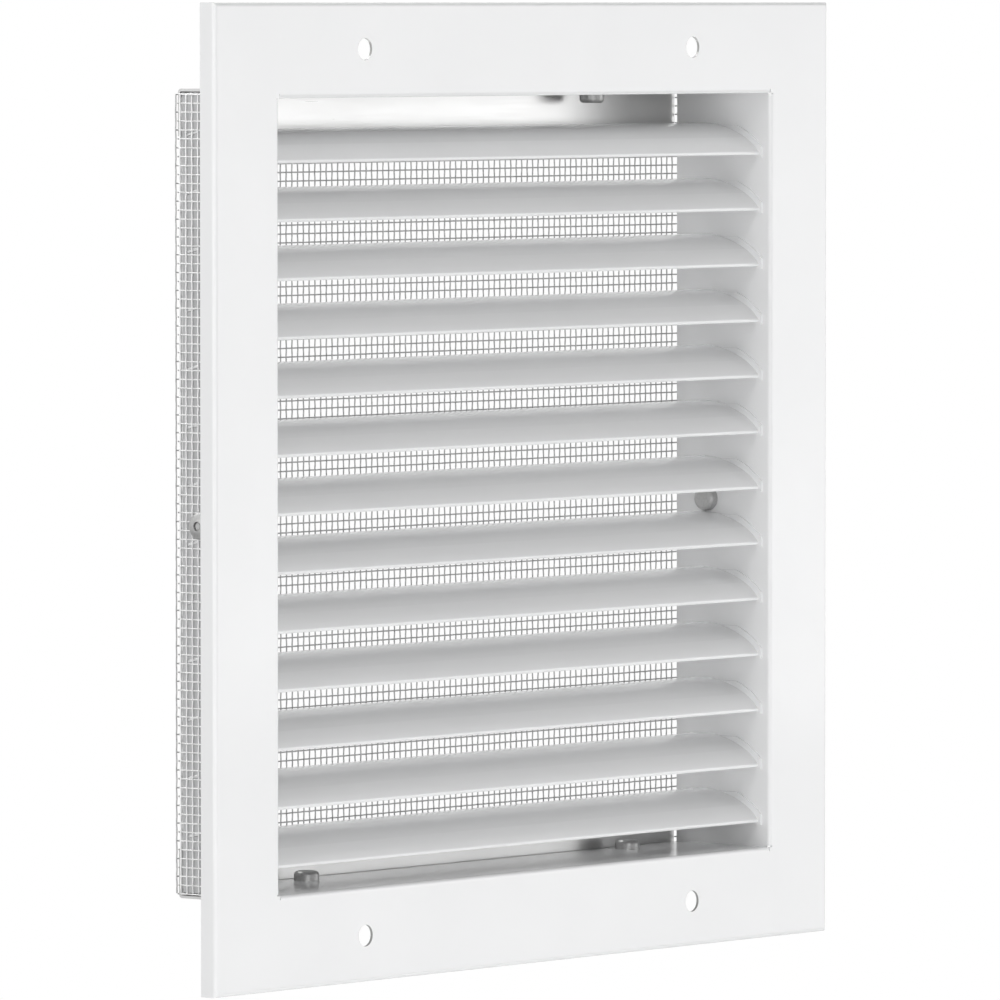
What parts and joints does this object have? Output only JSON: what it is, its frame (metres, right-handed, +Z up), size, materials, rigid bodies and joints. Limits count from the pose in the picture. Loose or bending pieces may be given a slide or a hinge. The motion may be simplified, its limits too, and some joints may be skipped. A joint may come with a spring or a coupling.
{
  "type": "gable vent",
  "caption": "Square sheet-metal gable vent with fixed arched blades, a folded face flange with screw holes, and riveted wire cloth behind the blades.",
  "frame": {"origin": "centre of the front of the face, midway between the four screw holes", "axes": "+X to the right seen from the front, +Y into the wall, +Z up; the face looks along -Y"},
  "size_m": [0.35, 0.0474, 0.35],
  "materials": {
    "white_paint": "semi-gloss white powder coat on galvanised steel",
    "wire_cloth": "galvanised woven wire",
    "bare_sheet": "bright galvanised sheet, unpainted",
    "bare_rivet": "bare aluminium blind rivet"
  },
  "bodies": {
    "root": {"face_frame": "white_paint", "louver_blade_01": "white_paint", "louver_blade_02": "white_paint", "louver_blade_03": "white_paint", "louver_blade_04": "white_paint", "louver_blade_05": "white_paint", "louver_blade_06": "white_paint", "louver_blade_07": "white_paint", "louver_blade_08": "white_paint", "louver_blade_09": "white_paint", "louver_blade_10": "white_paint", "louver_blade_11": "white_paint", "louver_blade_12": "white_paint", "louver_blade_13": "white_paint", "insect_screen": "wire_cloth", "screen_retainer_top": "bare_sheet", "screen_retainer_bottom": "bare_sheet", "rivet_top_left": "bare_rivet", "rivet_top_right": "bare_rivet", "rivet_bottom_left": "bare_rivet", "rivet_bottom_right": "bare_rivet", "rivet_side_left": "bare_rivet", "rivet_side_right": "bare_rivet"}
  },
  "joints": []
}
